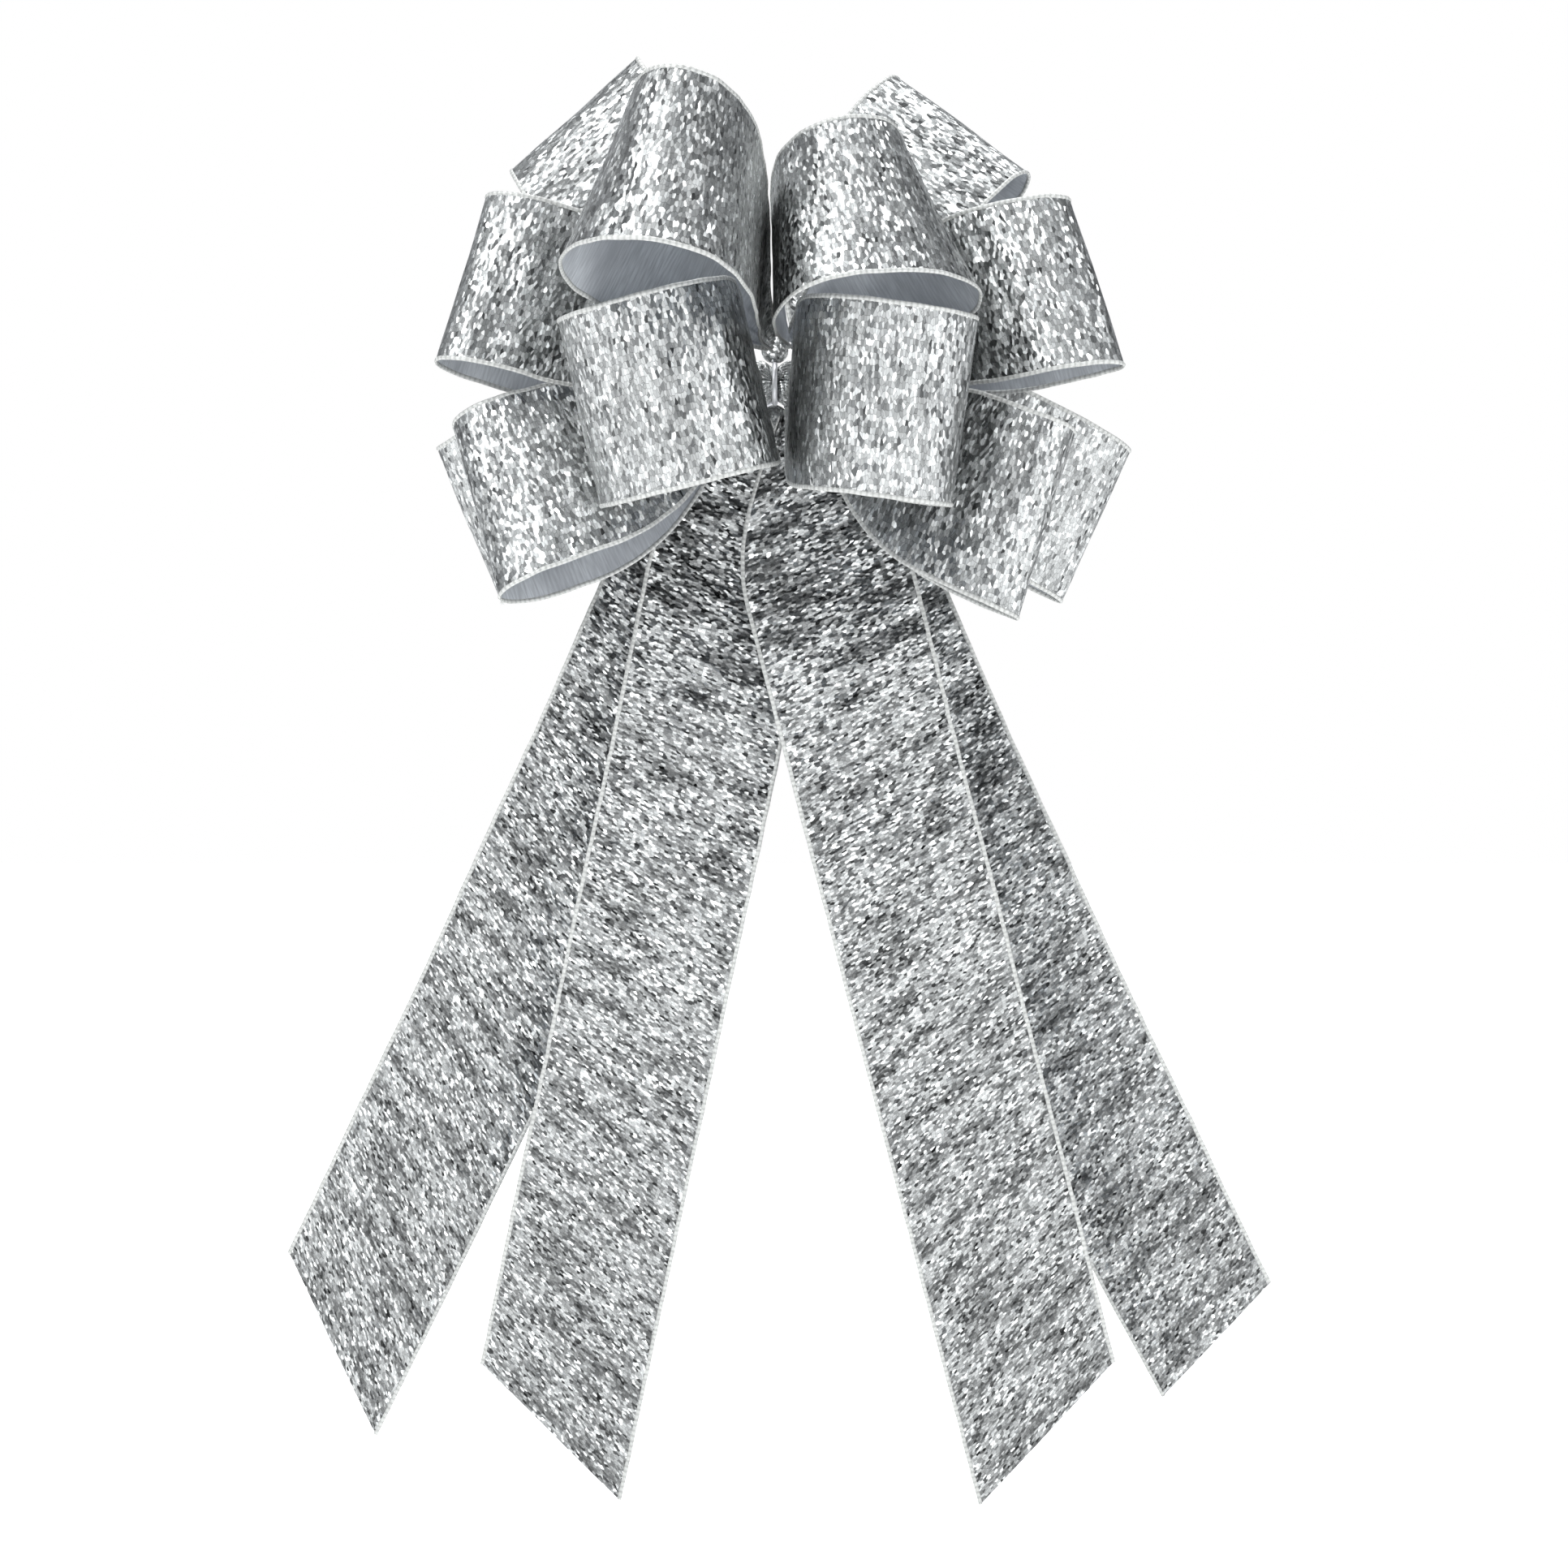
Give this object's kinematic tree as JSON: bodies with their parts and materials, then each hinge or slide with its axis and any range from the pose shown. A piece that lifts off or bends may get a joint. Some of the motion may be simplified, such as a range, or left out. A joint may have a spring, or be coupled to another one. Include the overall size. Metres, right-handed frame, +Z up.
{
  "type": "gift bow",
  "caption": "Pre-made gift bow of wired metallic ribbon: layered loops over long slant-cut tails, bound by a twist tie behind.",
  "frame": {"origin": "middle of the binding at the bow's waist", "axes": "+X to the viewer's right, +Y away from the viewer towards the back, +Z up; the front of the bow faces -Y"},
  "size_m": [0.3822, 0.2139, 0.5446],
  "materials": {
    "ribbon": "silver metallic woven face with a plain grey satin back",
    "edge_thread": "fine silver-grey overlocked thread over a thin steel wire",
    "gathered_ribbon": "tightly pleated silver metallic ribbon",
    "tie_coat": "smooth silver-grey plastic coat",
    "tie_wire": "bare drawn steel"
  },
  "bodies": {
    "binding": {"gathered_core": "gathered_ribbon", "tie_waist_coat": "tie_coat", "tie_waist_wire": "tie_wire"},
    "loop_left_top_back_body": {"loop_left_top_back": "ribbon", "loop_left_top_back_edge_wires": "edge_thread"},
    "loop_left_middle_body": {"loop_left_middle": "ribbon", "loop_left_middle_edge_wires": "edge_thread"},
    "loop_left_low_front_body": {"loop_left_low_front": "ribbon", "loop_left_low_front_edge_wires": "edge_thread"},
    "loop_left_low_back_body": {"loop_left_low_back": "ribbon", "loop_left_low_back_edge_wires": "edge_thread"},
    "loop_left_centre_upper_body": {"loop_left_centre_upper": "ribbon", "loop_left_centre_upper_edge_wires": "edge_thread"},
    "loop_left_centre_lower_body": {"loop_left_centre_lower": "ribbon", "loop_left_centre_lower_edge_wires": "edge_thread"},
    "loop_right_top_back_body": {"loop_right_top_back": "ribbon", "loop_right_top_back_edge_wires": "edge_thread"},
    "loop_right_middle_body": {"loop_right_middle": "ribbon", "loop_right_middle_edge_wires": "edge_thread"},
    "loop_right_low_front_body": {"loop_right_low_front": "ribbon", "loop_right_low_front_edge_wires": "edge_thread"},
    "loop_right_low_back_body": {"loop_right_low_back": "ribbon", "loop_right_low_back_edge_wires": "edge_thread"},
    "loop_right_centre_upper_body": {"loop_right_centre_upper": "ribbon", "loop_right_centre_upper_edge_wires": "edge_thread"},
    "loop_right_centre_lower_body": {"loop_right_centre_lower": "ribbon", "loop_right_centre_lower_edge_wires": "edge_thread"},
    "tail_left_front_body": {"tail_left_front": "ribbon", "tail_left_front_edge_wires": "edge_thread"},
    "tail_right_front_body": {"tail_right_front": "ribbon", "tail_right_front_edge_wires": "edge_thread"},
    "tail_left_back_body": {"tail_left_back": "ribbon", "tail_left_back_edge_wires": "edge_thread"},
    "tail_right_back_body": {"tail_right_back": "ribbon", "tail_right_back_edge_wires": "edge_thread"},
    "tie_leg_left": {"tie_leg_left_coat": "tie_coat", "tie_leg_left_wire": "tie_wire"},
    "tie_leg_right": {"tie_leg_right_coat": "tie_coat", "tie_leg_right_wire": "tie_wire"}
  },
  "joints": [
    {"name": "loop_left_top_back_fan", "type": "hinge", "parent": "binding", "child": "loop_left_top_back_body", "pos_m": [-0.01266, 0.00146, 0.00987], "axis": [-0.197, -0.9803, 0.0123], "range_deg": [-8, 12]},
    {"name": "loop_left_middle_fan", "type": "hinge", "parent": "binding", "child": "loop_left_middle_body", "pos_m": [-0.01671, -0.00351, 0.00411], "axis": [0.3202, -0.947, 0.0262], "range_deg": [-7, 6]},
    {"name": "loop_left_low_front_fan", "type": "hinge", "parent": "binding", "child": "loop_left_low_front_body", "pos_m": [-0.01476, -0.0041, -0.0071], "axis": [0.1408, -0.9224, 0.3596], "range_deg": [-4, 4]},
    {"name": "loop_left_low_back_fan", "type": "hinge", "parent": "binding", "child": "loop_left_low_back_body", "pos_m": [-0.01688, 0.00208, -0.00462], "axis": [-0.111, -0.9775, -0.1795], "range_deg": [-12, 3]},
    {"name": "loop_left_centre_upper_fan", "type": "hinge", "parent": "binding", "child": "loop_left_centre_upper_body", "pos_m": [-0.00105, -0.00955, 0.01255], "axis": [0.9184, -0.386, -0.0871], "range_deg": [-1, 1]},
    {"name": "loop_left_centre_lower_fan", "type": "hinge", "parent": "binding", "child": "loop_left_centre_lower_body", "pos_m": [-0.00545, -0.01555, -0.00427], "axis": [0.8707, -0.4725, 0.1366], "range_deg": [-1, 1]},
    {"name": "loop_right_top_back_fan", "type": "hinge", "parent": "binding", "child": "loop_right_top_back_body", "pos_m": [0.01082, 0.00188, 0.01083], "axis": [-0.1435, -0.9624, 0.2307], "range_deg": [-12, 8]},
    {"name": "loop_right_middle_fan", "type": "hinge", "parent": "binding", "child": "loop_right_middle_body", "pos_m": [0.01638, -0.0041, 0.00441], "axis": [-0.3721, -0.9281, 0.012], "range_deg": [-3, 9]},
    {"name": "loop_right_low_front_fan", "type": "hinge", "parent": "binding", "child": "loop_right_low_front_body", "pos_m": [0.01433, -0.0043, -0.0075], "axis": [-0.3785, -0.9194, 0.1071], "range_deg": [-3, 3]},
    {"name": "loop_right_low_back_fan", "type": "hinge", "parent": "binding", "child": "loop_right_low_back_body", "pos_m": [0.01707, 0.00229, -0.00403], "axis": [0.1673, -0.981, -0.098], "range_deg": [-12, 12]},
    {"name": "loop_right_centre_upper_fan", "type": "hinge", "parent": "binding", "child": "loop_right_centre_upper_body", "pos_m": [0.0045, -0.00584, 0.0141], "axis": [-0.92, -0.3859, -0.0684], "range_deg": [-1, 1]},
    {"name": "loop_right_centre_lower_fan", "type": "hinge", "parent": "binding", "child": "loop_right_centre_lower_body", "pos_m": [0.00435, -0.01233, -0.00927], "axis": [-0.9078, -0.4158, 0.055], "range_deg": [-6, 1]},
    {"name": "tail_left_front_fan", "type": "hinge", "parent": "binding", "child": "tail_left_front_body", "pos_m": [-0.004, 0.0015, -0.012], "axis": [0, -1, 0], "range_deg": [-3, 10]},
    {"name": "tail_right_front_fan", "type": "hinge", "parent": "binding", "child": "tail_right_front_body", "pos_m": [0.004, -0.003, -0.012], "axis": [0, -1, 0], "range_deg": [-10, 4]},
    {"name": "tail_left_back_fan", "type": "hinge", "parent": "binding", "child": "tail_left_back_body", "pos_m": [-0.007, 0.009, -0.011], "axis": [0, -1, 0], "range_deg": [-12, 4]},
    {"name": "tail_right_back_fan", "type": "hinge", "parent": "binding", "child": "tail_right_back_body", "pos_m": [0.007, 0.012, -0.011], "axis": [0, -1, 0], "range_deg": [-4, 12]},
    {"name": "tie_leg_left_bend", "type": "hinge", "parent": "binding", "child": "tie_leg_left", "pos_m": [0, 0.027, -0.00115], "axis": [0, 0, -1], "range_deg": [-30, 40]},
    {"name": "tie_leg_right_bend", "type": "hinge", "parent": "binding", "child": "tie_leg_right", "pos_m": [0, 0.027, 0.00115], "axis": [0, 0, 1], "range_deg": [-30, 40]}
  ]
}
